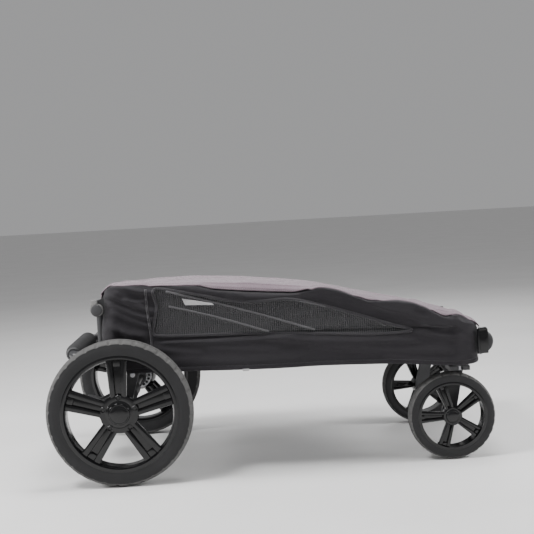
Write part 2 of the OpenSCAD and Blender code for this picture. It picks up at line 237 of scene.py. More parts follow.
def netting(name):
    """A see-through net: fine upright threads and finer cross threads, on UVs in metres."""
    m = Mat(name, (0.03, 0.029, 0.032), 0.75, "UV", Sheen_Weight=0.2)
    upright = m.wave(WAVE / 0.0044, "X", 0.6)
    fine = m.math("MAXIMUM", m.wave(WAVE / 0.0015, "X", 0.2), m.wave(WAVE / 0.0013, "Y", 0.2))
    threads = m.math("ADD", m.math("MULTIPLY", upright, 0.45), m.math("MULTIPLY", fine, 0.55))
    tone = m.ramp(threads, (0.3, (0.008, 0.008, 0.0095)), (0.85, (0.036, 0.035, 0.038)))
    tone = m.mix(m.ramp(m.noise(12, 4), (0.35, 0.0), (0.8, 0.6)), tone, (0.014, 0.014, 0.016))
    alpha = m.ramp(threads, (0.25, 0.55), (0.7, 0.93))
    return m.set(Base_Color=tone, Alpha=alpha, Normal=m.bump(threads, 0.6, 0.0005)).mat


BLACK = cloth("cloth_black", (0.0185, 0.0165, 0.020), 0.8, 0.25, sheen=0.12)
GREY = cloth("cloth_grey_heather", (0.205, 0.156, 0.184), 0.9, 0.7, 0.0014, 0.2)
PALE = cloth("liner_pale", (0.5, 0.49, 0.5), 0.9, 0.15)
PAD = cloth("pad_cloth", (0.045, 0.044, 0.048), 0.88, 0.35, 0.0016, 0.3, "Object")
TAPE = cloth("binding_tape", (0.024, 0.022, 0.026), 0.65, 0.15, 0.0008, 0.25)
THREAD = cloth("stitch_thread", (0.075, 0.072, 0.08), 0.6, 0.1, 0.0006, 0.2, "Object")
NET = netting("net_black")
PAINT = plastic("frame_paint", (0.022, 0.022, 0.024), 0.38, 1500, 0.00008, Coat_Weight=0.15, Coat_Roughness=0.3)
MOULD = plastic("moulding_black", (0.03, 0.03, 0.032), 0.55)
GLOSS = plastic("rim_gloss_black", (0.004, 0.004, 0.0045), 0.13, 300, 0.00002, Coat_Weight=0.2, Coat_Roughness=0.04,
                Specular_IOR_Level=0.32)
BUTTON = plastic("button_grey", (0.25, 0.25, 0.26), 0.45)
COLLAR = plastic("collar_light_grey", (0.17, 0.168, 0.165), 0.5)
# lighter cloth for the strips along the net's creases: a painted highlight
NET_CREASE_HIGHLIGHT = cloth("net_crease_highlight", (0.085, 0.083, 0.088), 0.7, 0.2, 0.0008, 0.2)
BOARD = plastic("board_black", (0.04, 0.04, 0.042), 0.7, 500, 0.0002)
STEEL = metal("steel_zinc", (0.52, 0.52, 0.54), 0.34)
TYRE = rubber("tyre_rubber", (0.013, 0.013, 0.0138), 0.72)
# lighter rubber for the tread band: partly dust, partly a painted highlight for the lit tread
TREAD = rubber("tyre_tread_dust_and_highlight", (0.07, 0.069, 0.068), 0.8)
FOAM = rubber("grip_foam", (0.03, 0.03, 0.031), 0.92)

SLOT_MATERIALS = {
    "frame_paint": PAINT, "moulding": MOULD, "button_grey": BUTTON, "steel": STEEL, "rim_gloss": GLOSS,
    "tyre": TYRE, "cloth_black": BLACK, "cloth_grey": GREY, "net_black": NET, "pad_cloth": PAD,
    "board": BOARD, "grip_foam": FOAM,
}
for entry in frame["record"]["subparts"]:
    cad_mesh = frame["nodes"][entry["node"]].data
    if not cad_mesh.materials:
        cad_mesh.materials.append(None)
    for index in range(len(cad_mesh.materials)):
        cad_mesh.materials[index] = SLOT_MATERIALS[entry["material_slot"]]


# ---------------------------------------- mesh helpers
def mesh_from(name, verts, faces, mat, uvs=None):
    mesh = bpy.data.meshes.new(name)
    mesh.from_pydata([tuple(map(float, v)) for v in verts], [], [tuple(map(int, f)) for f in faces])
    mesh.polygons.foreach_set("use_smooth", [True] * len(mesh.polygons))
    if uvs is not None:
        layer = mesh.uv_layers.new(name="UVMap")
        loops = np.empty(len(mesh.loops), int)
        mesh.loops.foreach_get("vertex_index", loops)
        layer.data.foreach_set("uv", np.asarray(uvs, float)[loops].ravel())
    mesh.update()
    return link(name, mesh, mat)


def grid_faces(rows, cols, wrap_rows=False, wrap_cols=False):
    """The faces between rows of vertices. The grid may close on itself either way."""
    r, c = np.meshgrid(np.arange(rows if wrap_rows else rows - 1), np.arange(cols if wrap_cols else cols - 1),
                       indexing="ij")
    r2, c2 = (r + 1) % rows, (c + 1) % cols
    return np.stack([r * cols + c, r * cols + c2, r2 * cols + c2, r2 * cols + c], -1).reshape(-1, 4)


TURNED_OVER = [0, 3, 2, 1]              # a face's corners, taken the other way round


def bake_modifiers(obj):
    graph = bpy.context.evaluated_depsgraph_get()
    graph.update()
    mesh = bpy.data.meshes.new_from_object(obj.evaluated_get(graph))
    obj.modifiers.clear()
    obj.data = mesh


def thicken(obj, thickness):
    """Give a sheet that thickness, inwards from its face."""
    mod = obj.modifiers.new("thick", "SOLIDIFY")
    mod.thickness, mod.offset = thickness, -1
    bake_modifiers(obj)


def lathe(profile, segments, warp=None):
    """Closed profile [(radius, height)] turned about Z. warp(angle, r, z) -> r."""
    prof = np.asarray(profile, float)
    angle = np.arange(segments) * 2 * math.pi / segments
    a, r = np.meshgrid(angle, prof[:, 0], indexing="ij")
    z = np.broadcast_to(prof[:, 1], r.shape)
    if warp is not None:
        r = warp(a, r, z)
    verts = np.stack([r * np.cos(a), r * np.sin(a), z], -1).reshape(-1, 3)
    return verts, grid_faces(segments, len(prof), True, True)[:, TURNED_OVER]


def join(parts):
    verts, faces, start = [], [], 0
    for v, f in parts:
        verts.extend([tuple(map(float, p)) for p in v])
        faces.extend([tuple(int(k) + start for k in face) for face in f])
        start += len(v)
    return verts, faces


def prism(outline, top, bottom, bevel):
    """A block with that outline in X and Y, between bottom(x) and top(x), its edges rounded."""
    bm = bmesh.new()
    low = [bm.verts.new((x, y, bottom(x))) for x, y in outline]
    high = [bm.verts.new((x, y, top(x))) for x, y in outline]
    n = len(outline)
    bm.faces.new(high)
    bm.faces.new(low[::-1])
    for i in range(n):
        bm.faces.new((low[i], low[(i + 1) % n], high[(i + 1) % n], high[i]))
    bmesh.ops.recalc_face_normals(bm, faces=bm.faces)
    bmesh.ops.bevel(bm, geom=list(bm.edges), offset=bevel, segments=2, profile=0.6, affect="EDGES")
    bm.verts.index_update()
    made = [tuple(v.co) for v in bm.verts], [tuple(v.index for v in f.verts) for f in bm.faces]
    bm.free()
    return made


def turned(part, angle):
    v = np.asarray(part[0], float)
    c, s = math.cos(angle), math.sin(angle)
    return np.stack([v[:, 0] * c - v[:, 1] * s, v[:, 0] * s + v[:, 1] * c, v[:, 2]], -1), part[1]


def moved(part, offset):
    return np.asarray(part[0], float) + np.asarray(offset, float), part[1]


def to_wheel(part, side, x, z, y):
    """Local +Z is the outward direction. Placed on the wheel's axis on that side."""
    v = np.asarray(part[0], float)
    return np.stack([x - side * v[:, 0], side * (v[:, 2] + y), v[:, 1] + z], -1), part[1]


def edit_mesh(obj, change):
    bm = bmesh.new()
    bm.from_mesh(obj.data)
    change(bm)
    bm.to_mesh(obj.data)
    bm.free()


def fix_normals(obj):
    edit_mesh(obj, lambda bm: bmesh.ops.recalc_face_normals(bm, faces=bm.faces))


def drop_loose(obj):
    edit_mesh(obj, lambda bm: bmesh.ops.delete(bm, geom=[v for v in bm.verts if not v.link_faces], context="VERTS"))


def solid(name, part, mat, body, replaces=(), angle=35):
    """A rigid piece on one body. Edges sharper than angle degrees are shaded sharp."""
    obj = mesh_from(name, *part, mat)
    fix_normals(obj)
    obj.data.set_sharp_from_angle(angle=math.radians(angle))
    if replaces:
        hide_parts(*replaces)
    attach(obj, body)
    return obj


# ---------------------------------------- wheels
RIM_SHARE = 0.78                        # rim radius over wheel radius
TREAD_SHARE = 0.76                      # the lighter tread (dust, with a painted highlight) starts at this share of the tyre's height
NOTCHES = {"rear": 36, "front": 30}     # round each tyre's shoulders
SPOKES = 5
SPOKE_DEPTH = 0.014
RIB_BEVEL = 0.0026
# Half the tyre, from its bead to the tread's middle: shares of its height and of its half width.
TYRE_PROFILE = (
    (0, 0.80), (0.03, 0.93), (0.10, 0.965), (0.14, 0.95), (0.18, 0.965), (0.34, 0.995), (0.52, 1.0),
    (0.62, 0.985), (0.70, 0.955), (0.73, 0.95), (0.77, 0.96), (0.84, 0.90), (0.90, 0.80), (0.945, 0.66),
    (0.97, 0.50), (0.98, 0.42), (0.915, 0.40), (0.915, 0.34), (0.988, 0.32), (1, 0.06),
)
CAP_PROFILE = ((1, 0), (1, 0.35), (0.955, 0.62), (0.86, 0.74), (0.82, 0.68), (0.78, 0.76), (0.45, 0.96))


def mirrored(half, w, middle=()):
    """A closed profile from its outer half, whose heights are shares of the half width w."""
    return [(r, z * w) for r, z in half] + [*middle] + [(r, -z * w) for r, z in half[::-1]]


def tyre_part(radius, inner, width, notches):
    """A tyre with its bead, sidewall and shoulder, and notches cut across the shoulder."""
    w, h = width / 2, radius - inner
    profile = mirrored([(inner + k * h, z) for k, z in TYRE_PROFILE], w)

    def warp(angle, r, z):
        turn = (angle * notches / (2 * math.pi)) % 1.0
        cut = np.clip(1 - np.abs(turn - 0.5) / 0.16, 0, 1) ** 0.5
        band = np.clip((np.abs(z) / w - 0.44) / 0.1, 0, 1) * np.clip((r - (inner + 0.75 * h)) / (0.06 * h), 0, 1)
        return r - 0.11 * h * cut * band

    return lathe(profile, notches * 12, warp)


def rim_part(outer, width, first, hub_r, spoke_out, spoke_in, bolts):
    """A rim with twin-rib spokes, the first at that angle, and the height of its face."""
    w = width / 2
    lip = outer + 0.017 * outer
    barrel = [(outer - 0.0005, 0.86), (lip, 0.88), (lip + 0.0004, 0.95), (outer - 0.001, 0.995),
              (outer - 0.005, 0.97), (outer * 0.935, 0.80), (outer * 0.925, 0.5)]
    parts = [lathe(mirrored(barrel, w, [(outer * 0.94, 0.0)]), 144)]
    face = 0.86 * w
    r_in, r_out = hub_r * 0.7, outer * 0.955

    def below(gap):
        """A height function: gap under the spoke's top, which falls towards the rim."""
        return lambda x: face - 0.10 * w * ((x - r_in) / (r_out - r_in)) - gap

    channel_out, channel_in = spoke_out * 0.36, spoke_in * 0.36
    angles = [first + i * 2 * math.pi / SPOKES for i in range(SPOKES)]
    for angle in angles:
        for s in (1, -1):
            rib = [(r_in, s * channel_in / 2), (r_out, s * channel_out / 2), (r_out, s * spoke_out / 2),
                   (r_out * 0.93, s * spoke_out * 0.46), (r_in, s * spoke_in / 2)]
            parts.append(turned(prism(rib, below(0), below(SPOKE_DEPTH), RIB_BEVEL), angle))
        web = [(r_in, -channel_in * 0.6), (r_out, -channel_out * 0.6), (r_out, channel_out * 0.6),
               (r_in, channel_in * 0.6)]
        parts.append(turned(prism(web, below(0.0065), below(SPOKE_DEPTH * 0.9), 0.0005), angle))
        pad_in = r_out - 0.13 * outer
        pad = [(pad_in, -channel_out * 0.42), (r_out, -channel_out * 0.46), (r_out, channel_out * 0.46),
               (pad_in, channel_out * 0.42)]
        parts.append(turned(prism(pad, below(0.0018), below(0.012), 0.001), angle))
    hub = [
        (0.0085, -0.80 * w), (hub_r * 0.75, -0.80 * w), (hub_r * 0.95, -0.3 * w), (hub_r, 0.3 * w),
        (hub_r, face - 0.002), (hub_r - 0.0012, face - 0.0004), (hub_r * 0.78, face + 0.0006),
        (hub_r * 0.70, face + 0.0002), (hub_r * 0.66, face + 0.0012), (0.0085, face + 0.0012),
    ]
    parts.append(lathe(hub, 96))
    if bolts:
        for angle in angles:
            place = (0.86 * hub_r * math.cos(angle), 0.86 * hub_r * math.sin(angle), face)
            ring = [(0.0038, -0.001), (0.0056, -0.001), (0.0056, 0.0008), (0.005, 0.0014), (0.0042, 0.0012)]
            head = [(0.0003, -0.002), (0.0034, -0.002), (0.0034, 0.0003), (0.0028, 0.0009), (0.0003, 0.0009)]
            parts.append(moved(lathe(ring, 24), place))
            parts.append(moved(lathe(head, 6), place))
    return join(parts), face


def cap_part(radius, base, height):
    axis = 0.0002                       # a profile stays just off the axis
    outline = [(radius * r, base + height * z) for r, z in CAP_PROFILE]
    return lathe([(axis, base), *outline, (axis, base + height)], 72)


def make_wheels():
    for side_name, side in SIDES:
        for axle, x, z, y, radius, width, hub_r, wide, narrow, cap_r, cap_h in (
            ("rear", REAR_X, REAR_Z, REAR_Y, 0.1525, 0.048, 0.040, 0.047, 0.033, 0.0225, 0.0055),
            ("front", FRONT_X, FRONT_Z, FRONT_Y, 0.093, 0.040, 0.0205, 0.027, 0.0165, 0.014, 0.0045),
        ):
            inner = radius * RIM_SHARE
            body = f"{axle}_wheel_{side_name}"

            def place(kind, finish, part, mat, slot, angle=35):
                node = f"{axle}_{kind}_{side_name}"
                return solid(f"{node}_{finish}", to_wheel(part, side, x, z, y), mat, body, [node], angle)

            tyre = place("tyre", "tread", tyre_part(radius, inner, width, NOTCHES[axle]), TYRE, "tyre", 50)
            tyre.data.materials.append(TREAD)
            # the tread band gets the lighter rubber: dust, with a painted highlight
            for face in tyre.data.polygons:
                far = math.hypot(face.center.x - x, face.center.z - z) - inner
                face.material_index = int(far > TREAD_SHARE * (radius - inner))
            first = math.pi / 2 if axle == "rear" else (math.pi if side < 0 else 0)
            rim, face_z = rim_part(inner, width, first, hub_r, wide, narrow, axle == "rear")
            place("rim", "spoked", rim, GLOSS, "rim_gloss")
            place("cap", "domed", cap_part(cap_r, face_z, cap_h), GLOSS, "rim_gloss")


# ---------------------------------------- cabin cloth: its shape as functions
def smooth01(t):
    t = np.clip(t, 0, 1)
    return t * t * (3 - 2 * t)


WALL_Y = 0.2275                         # the flat face of a side wall
REAR_END, FRONT_END = -0.3475, 0.4395   # the flat faces of the end walls
CORNER_R = 0.030
ROOF_EDGE_Y = 0.214                     # where the heights of the roof's edges are read
TUBE_GAP = 0.0042                       # from a roof tube to the outer face of the cloth on it
ROOF_CAP = 0.4165                       # the roof rises only a little above this height
WALL_THICK, NET_THICK, ROOF_THICK = 0.0022, 0.0006, 0.0026
# The roof's middle height, its wavy hem on the near side and the cabin's lower edge, each by X.
ROOF_X = (-0.352, -0.330, -0.305, -0.261, -0.193, -0.124, -0.032, 0.083, 0.174, 0.266, 0.358, 0.427, 0.4395)
ROOF_Z = (0.384, 0.397, 0.405, 0.409, 0.407, 0.405, 0.398, 0.385, 0.366, 0.344, 0.321, 0.298, 0.288)
HEM_X = (-0.352, -0.340, -0.325, -0.308, -0.283, -0.263, -0.239, -0.209, -0.173, -0.149, -0.119, -0.090, -0.054,
         0.007, 0.055, 0.085, 0.104, 0.128, 0.152, 0.182, 0.211, 0.242, 0.272, 0.302, 0.332, 0.362, 0.374, 0.393,
         0.411, 0.428, 0.444)
HEM_Z = (0.400, 0.409, 0.416, 0.4205, 0.420, 0.416, 0.409, 0.410, 0.410, 0.408, 0.397, 0.393, 0.389, 0.383,
         0.379, 0.384, 0.390, 0.387, 0.380, 0.366, 0.353, 0.353, 0.353, 0.346, 0.333, 0.313, 0.309, 0.318, 0.310,
         0.295, 0.287)
LOW_X = (-0.36, -0.2, 0.0, 0.12, 0.24, 0.30, 0.36, 0.42, 0.45)
LOW_Z = (0.229, 0.226, 0.220, 0.220, 0.216, 0.212, 0.205, 0.203, 0.214)


def soft_interp(x, xs, ys, blur):
    """A rounded curve through the points: straight interpolation averaged over 2 * blur."""
    return sum(np.interp(x + k * blur / 4, xs, ys) for k in range(-4, 5)) / 9


CHORD = ROOF_END - HUB
CHORD_LENGTH = np.linalg.norm(CHORD)
ABOVE = np.array([CHORD[1], -CHORD[0]]) / CHORD_LENGTH    # square to the chord, pointing up
ARCH_SAGITTA = 0.048
ARCH_R = (CHORD_LENGTH ** 2 / 4 + ARCH_SAGITTA ** 2) / (2 * ARCH_SAGITTA)
ARCH_CENTRE = (HUB + ROOF_END) / 2 + ABOVE * (ARCH_SAGITTA - ARCH_R)


def tube_top(x):
    """The top of the roof's arched tubes."""
    return ARCH_CENTRE[1] + np.sqrt(ARCH_R ** 2 - (x - ARCH_CENTRE[0]) ** 2) + 0.009


def roof_base(x, y):
    tilt = np.where(y < 0, -0.032, -0.044) * y
    soft = soft_interp(x, ROOF_X, ROOF_Z, 0.03) + tilt + 0.002 * (1 - (np.abs(y) / 0.215) ** 2) - 0.002
    return np.maximum(soft, tube_top(x) + TUBE_GAP)


def near_hem(x):
    return soft_interp(x, HEM_X, HEM_Z, 0.008)


def edge_lift(x):
    """How far the near side cloth pushes the roof's edge up, so that it stays above its hem."""
    most = 0.010 + 0.010 * smooth01((-0.245 - x) / 0.03)
    return np.clip(near_hem(x) + 0.002 - roof_base(x, -ROOF_EDGE_Y), 0, most)


def roof_z(x, y):
    near = smooth01((-y - 0.11) / 0.10)
    z = roof_base(x, y) + near * edge_lift(x)
    return np.minimum(z, ROOF_CAP + 0.15 * (z - ROOF_CAP))


def edge_z(x, side):
    return roof_z(x, side * ROOF_EDGE_Y) - 0.001


def hem_z(x, side):
    """The height of the roof's wavy hem. The far side has the same waves a little further back."""
    if side > 0:
        x_near = np.clip(x + 0.04, -0.34, 0.44)
        return edge_z(x, 1) - (edge_z(x_near, -1) - hem_z(x_near, -1))
    return np.minimum(near_hem(x), edge_z(x, -1) - 0.0015)


def hem_by_side(x, side):
    return np.where(side < 0, hem_z(x, -1), hem_z(x, 1))


def low_z(x):
    return soft_interp(x, LOW_X, LOW_Z, 0.03)


ROOF_SEAMS = (-0.105, 0.105)
ROOF_HALF = 0.2175
ROOF_REAR = -0.3500
ROOF_FRONT = 0.4425


def roof_skin(x, y):
    """The outer face of the roof's top, which sags between its bows and creases a little at its corners."""
    inward = np.clip(1 - np.abs(y) / ROOF_HALF, 0, 1)
    sag = 0.0045 * np.sin((x + 0.17) / 0.29 * math.pi) ** 2 * smooth01(inward * 2.5)
    sag = sag + 0.0012 * sum(np.exp(-(((y - k) / 0.0035) ** 2)) for k in ROOF_SEAMS)
    sag = sag + 0.0015 * smooth01((0.1 - inward) / 0.1)
    crease = 0.0024 * ripple(x * 1.4 + y * 0.8, y * 1.2, 22) * smooth01(inward * 4)
    crease = crease + ridge_sum(x, y, (
        (-330, -200, -120, -50, 2.5, 11), (-330, 190, -100, 70, 2.5, 11),
        (410, -190, 220, -80, 3.0, 12), (410, 190, 250, 50, 3.0, 12),
        (-50, -210, 90, -100, 2.2, 12), (20, 200, 150, 90, 2.2, 12)))
    turn = 0.004 * np.clip((-0.339 - x) / 0.011, 0, 1) ** 2 + 0.010 * np.clip((x - 0.4313) / 0.011, 0, 1) ** 2
    on_tube = smooth01((np.abs(y) - 0.175) / 0.015) * smooth01((0.43 - x) / 0.02)
    least = tube_top(np.clip(x, -0.345, 0.445)) + TUBE_GAP + 0.0035 * np.exp(-(((x + 0.338) / 0.016) ** 2))
    z = roof_z(x, y) - sag + crease - turn
    return z + on_tube * np.maximum(least - z, 0)


# Folds on the side walls, in mm: each one's start and end in X and Z, its height and its half width.
FOLDS = (
    (-330, 394, -236, 354, 5.5, 5), (-336, 379, -246, 339, 5.5, 5), (-318, 401, -262, 369, 4.0, 4),
    (-325, 360, -250, 324, 4.5, 6), (-302, 409, -236, 395, 4.5, 5), (-343, 332, -262, 304, 4.0, 8),
    (-340, 365, -290, 300, 3.0, 7), (-300, 385, -255, 378, 3.5, 4), (-222, 289, 40, 286, 3.5, 6),
    (0, 284, 305, 262, 4.5, 8), (-206, 250, 60, 240, 3.5, 12), (100, 390, 306, 333, 7.0, 12),
    (205, 356, 366, 293, 6.5, 10), (300, 346, 426, 277, 6.5, 10), (417, 292, 424, 232, 5.0, 6),
    (393, 316, 400, 285, 6.0, 7), (-190, 404, -60, 384, 4.5, 9), (-80, 380, 60, 372, 5.0, 8),
    (90, 262, 380, 236, 3.5, 9), (-300, 290, -150, 262, 3.0, 9), (240, 232, 400, 214, 3.5, 7),
    (320, 300, 400, 286, 4.0, 6), (310, 280, 420, 262, 4.0, 7), (-130, 272, 20, 262, 2.5, 10),
)
FOLD_GAIN = 1.35
# Creases over the net windows, written the same way. The narrower ones also get a strip of lighter cloth along
# them: a painted highlight on the crease.
NET_LINES = (
    (-222, 399, 104, 294, 3.0, 4), (-215, 366, 4, 297, 2.4, 4), (-50, 348, 66, 365, 1.6, 5),
    (41, 367, 296, 286, 2.6, 4), (-58, 306, 60, 333, 1.5, 6), (60, 332, 126, 352, 1.5, 6),
    (110, 300, 220, 306, 1.4, 7), (-100, 330, -20, 318, 1.2, 8),
)


def ridge_sum(x, z, lines):
    """The height of the folds in lines, a table like FOLDS, at x and z."""
    total = np.zeros(np.broadcast(x, z).shape)
    for line in lines:
        x0, z0, x1, z1, height, half = (k * MM for k in line)
        dx, dz = x1 - x0, z1 - z0
        length2 = dx * dx + dz * dz
        t = ((x - x0) * dx + (z - z0) * dz) / length2
        near = np.clip(t, 0, 1)
        bow = 0.006 * np.sin(near * math.pi)
        away = np.hypot(x - x0 - near * dx, z - z0 - near * dz + bow * 0.5)
        fade = smooth01((t + 0.18) / 0.3) * smooth01((1.18 - t) / 0.3)
        total = total + height * fade * np.exp(-((away / half) ** 2))
    return total


def ripple(a, b, seed):
    """Smooth unevenness, about -1 to 1, the same each run."""
    rng = np.random.default_rng(seed)
    total = 0
    for k in range(7):
        fa, fb = rng.uniform(4, 26, 2)
        total = total + np.sin(a * fa * (1 + 0.3 * k) + b * fb * 2 + rng.uniform(0, 6.28)) / (1.6 + 0.5 * k)
    return total / 2.2


def wall_bulge(x, z, side, share):
    """How far the side wall stands out from WALL_Y. share is 0 at the hem and 1 at the roof's edge."""
    out = FOLD_GAIN * ridge_sum(x, z, FOLDS) + ridge_sum(x, z, NET_LINES)
    out = out + 0.0026 * ripple(x, z, 11 if side < 0 else 12) + 0.0010 * ripple(3 * x + z, 2.4 * z - x, 13)
    out = out + 0.004 * np.sin(np.clip(share, 0, 1) * math.pi)
    groove = 0.2945 - 0.03 * (x > 0.1) * (x - 0.1)
    out = out - 0.005 * np.exp(-(((z - groove) / 0.004) ** 2)) * smooth01((x + 0.25) / 0.03)
    out = out + 0.009 * smooth01((x - 0.385) / 0.04) * smooth01((0.31 - z) / 0.03)
    puff = smooth01((z - hem_z(x, side) + 0.034) / 0.018)
    out = out + 0.0035 * puff
    tuck = smooth01((z - hem_z(x, side) + 0.005) / 0.006)
    out = out * (1 - tuck) + np.minimum(out, -0.0125) * tuck
    return np.clip(out, -0.013, 0.0135)


def perimeter(step):
    """Points and outward normals round the cabin, from the middle of its rear, along the right side first."""
    out = []
    r, quarter = CORNER_R, math.pi / 2
    rear, front, right, left = REAR_END + r, FRONT_END - r, r - WALL_Y, WALL_Y - r    # the corners' centres

    def line(p, q, n):
        count = max(2, int(math.dist(p, q) / step))
        for i in range(count):
            t = i / count
            out.append((p[0] + (q[0] - p[0]) * t, p[1] + (q[1] - p[1]) * t, *n))

    def arc(cx, cy, start):
        count = max(6, int(r * quarter / step))
        for i in range(count):
            a = start + quarter * i / count
            out.append((cx + r * math.cos(a), cy + r * math.sin(a), math.cos(a), math.sin(a)))

    line((REAR_END, 0), (REAR_END, right), (-1, 0))
    arc(rear, right, 2 * quarter)
    line((rear, -WALL_Y), (front, -WALL_Y), (0, -1))
    arc(front, right, 3 * quarter)
    line((FRONT_END, right), (FRONT_END, left), (1, 0))
    arc(front, left, 0)
    line((front, WALL_Y), (rear, WALL_Y), (0, 1))
    arc(rear, left, quarter)
    line((REAR_END, left), (REAR_END, 0), (-1, 0))
    return np.array(out)


def round_bulge(ring, z, share):
    """How far the cloth stands out from the perimeter: by the folds on the sides, by soft waves on the ends."""
    x, y, nx, ny = ring.T
    flat = np.abs(ny)
    rear, front = (nx < 0) * (1 - flat), (nx > 0) * (1 - flat)
    sides = np.where(y < 0, wall_bulge(x, z, -1, share), wall_bulge(x, z, 1, share)) * flat
    hollow = 0.012 * np.sin(share * math.pi) * (np.abs(y) < 0.19)
    return sides + rear * (0.0018 * ripple(y, z, 5) - 0.001) + front * (0.003 * ripple(y, z, 6) - hollow)


# The net window's outline on the side wall, in X and Z.
WINDOW = np.array([
    (-0.238, 0.400), (-0.205, 0.398), (-0.140, 0.384), (-0.080, 0.369), (-0.020, 0.365), (0.047, 0.365),
    (0.120, 0.345), (0.185, 0.324), (0.250, 0.301), (0.297, 0.284), (0.219, 0.281), (0.104, 0.289), (0.001, 0.295),
    (-0.100, 0.299), (-0.221, 0.303), (-0.243, 0.310), (-0.240, 0.335), (-0.234, 0.365),
])


def smooth_loop(points, per_span=10):
    """A closed curve through the points (Catmull-Rom)."""
    n = len(points)
    out = []
    for i in range(n):
        p0, p1, p2, p3 = (points[(i + k - 1) % n] for k in range(4))
        for j in range(per_span):
            t = j / per_span
            out.append(0.5 * (2 * p1 + (p2 - p0) * t + (2 * p0 - 5 * p1 + 4 * p2 - p3) * t * t
                              + (3 * p1 - p0 - 3 * p2 + p3) * t ** 3))
    return np.array(out)


WINDOW_CURVE = smooth_loop(WINDOW)


def inside(x, z, loop):
    hit = np.zeros(np.shape(x), bool)
    x1, z1 = loop[:, 0], loop[:, 1]
    x2, z2 = np.roll(x1, -1), np.roll(z1, -1)
    for a, b, c, d in zip(x1, z1, x2, z2):
        if b != d:
            crosses = ((b > z) != (d > z)) & (x < (c - a) * (z - b) / (d - b) + a)
            hit ^= crosses
    return hit


def stretches(obj):
    """Bake the piece's placement into its mesh."""
    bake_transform(obj)


def sewn(obj):
    """Bake the placement of a piece on the cabin's cloth into its mesh."""
    stretches(obj)


def facing(count, side):
    """Normals for a path on that side wall."""
    return np.tile([0.0, side, 0.0], (count, 1))


def wall_point(x, z, side, lift):
    """A point on the side wall's outer face, standing lift proud of it."""
    if side > 0:
        z = np.minimum(z, hem_z(x, side) - 0.0025)
    share = (z - low_z(x)) / (edge_z(x, side) - low_z(x))
    y = side * (WALL_Y + wall_bulge(x, z, side, share) + lift)
    return np.stack(np.broadcast_arrays(x, y, z), -1)


def make_walls():
    ring = perimeter(0.005)
    rows = 88
    x0, y0, nx, ny = ring.T
    along = np.concatenate([[0], np.cumsum(np.hypot(np.diff(x0), np.diff(y0)))])
    flat = np.abs(ny)
    eaves = roof_skin(np.clip(x0, ROOF_REAR, ROOF_FRONT), np.clip(y0, -ROOF_EDGE_Y, ROOF_EDGE_Y))
    low = low_z(x0)
    high = np.minimum(np.maximum(eaves - 0.008, hem_by_side(x0, y0) + 0.0015), eaves - 0.0032)
    t = np.linspace(0, 1, rows)[:, None]
    z = low + (high - low) * t
    rear = (nx < 0) * (1 - flat)
    corner = np.exp(-(((np.abs(y0) - 0.213) / 0.02) ** 2)) * (x0 < 0) * (np.abs(nx) > 0.05)
    bulge = round_bulge(ring, z, t) + 0.008 * corner * np.exp(-(((z - 0.305) / 0.045) ** 2))
    bulge = bulge + rear * ridge_sum(y0, z, ((-190, 390, -20, 330, 1.8, 12), (190, 385, 30, 325, 1.8, 12)))
    # The rear wall's top lies back under the roof.
    under = rear * smooth01((z - eaves + 0.016) / 0.008)
    bulge = bulge * (1 - under) - TUBE_GAP * under
    x = x0 + nx * bulge
    y = y0 + ny * bulge
    # The wall's top turns in under the roof.
    turn_in = np.arange(1, 6)[:, None] * 0.0045
    x_in, y_in = x[-1] - nx * turn_in, y[-1] - ny * turn_in
    z_in = np.minimum(roof_skin(x_in, y_in) - 0.0048, z[-1] + 0.4 * turn_in)
    x, y, z = (np.concatenate(pair) for pair in ((x, x_in), (y, y_in), (z, z_in)))
    rows = len(z)
    verts = np.stack([x, y, z], -1).reshape(-1, 3)
    uv = np.stack(np.broadcast_arrays(along, np.linspace(0.2, 0.4, rows)[:, None]), -1).reshape(-1, 2)
    faces = grid_faces(rows, len(ring), wrap_cols=True)
    centre = verts[faces].mean(1)
    is_side = np.tile(flat > 0.99, rows - 1)
    in_window = inside(centre[:, 0], centre[:, 2], WINDOW_CURVE) & is_side
    wall = mesh_from("cabin_walls", verts, faces[~in_window], BLACK, uv * (1, 2.6))
    drop_loose(wall)
    thicken(wall, WALL_THICK)
    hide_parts("skirt_cloth", "rear_cloth")
    sewn(wall)
    for name, side in SIDES:
        mine = in_window & (np.sign(centre[:, 1]) == side)
        net = mesh_from(f"net_window_{name}", verts, faces[mine], NET, uv)
        drop_loose(net)
        thicken(net, NET_THICK)
        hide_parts(f"side_cloth_{name}")
        sewn(net)


def path_length(path):
    """The length along the path at each of its points."""
    return np.concatenate([[0], np.cumsum(np.linalg.norm(np.diff(path, axis=0), axis=1))])


def strip(name, path, normals, width, mat, thick, closed=True):
    """A flat tape along path: width across, slightly crowned, its ends square."""
    ahead = np.roll(path, -1, 0) - np.roll(path, 1, 0)
    if not closed:
        ahead[0], ahead[-1] = path[1] - path[0], path[-1] - path[-2]
    ahead /= np.linalg.norm(ahead, axis=1)[:, None]
    cross = np.cross(ahead, normals)
    cross /= np.linalg.norm(cross, axis=1)[:, None]
    k = np.linspace(-1, 1, 5)
    across, crown = k * width / 2, thick * (1 - k ** 4)
    pts = path[:, None] + cross[:, None] * across[:, None] + normals[:, None] * crown[:, None]
    faces = grid_faces(len(path), len(k), closed)[:, TURNED_OVER]
    uv = np.stack(np.broadcast_arrays(path_length(path)[:, None], across), -1).reshape(-1, 2)
    obj = mesh_from(name, pts.reshape(-1, 3), faces, mat, uv)
    thicken(obj, max(0.0006, thick * 0.8))
    return obj


STITCH_PITCH, STITCH_LENGTH, STITCH_R = 0.0042, 0.0026, 0.00032


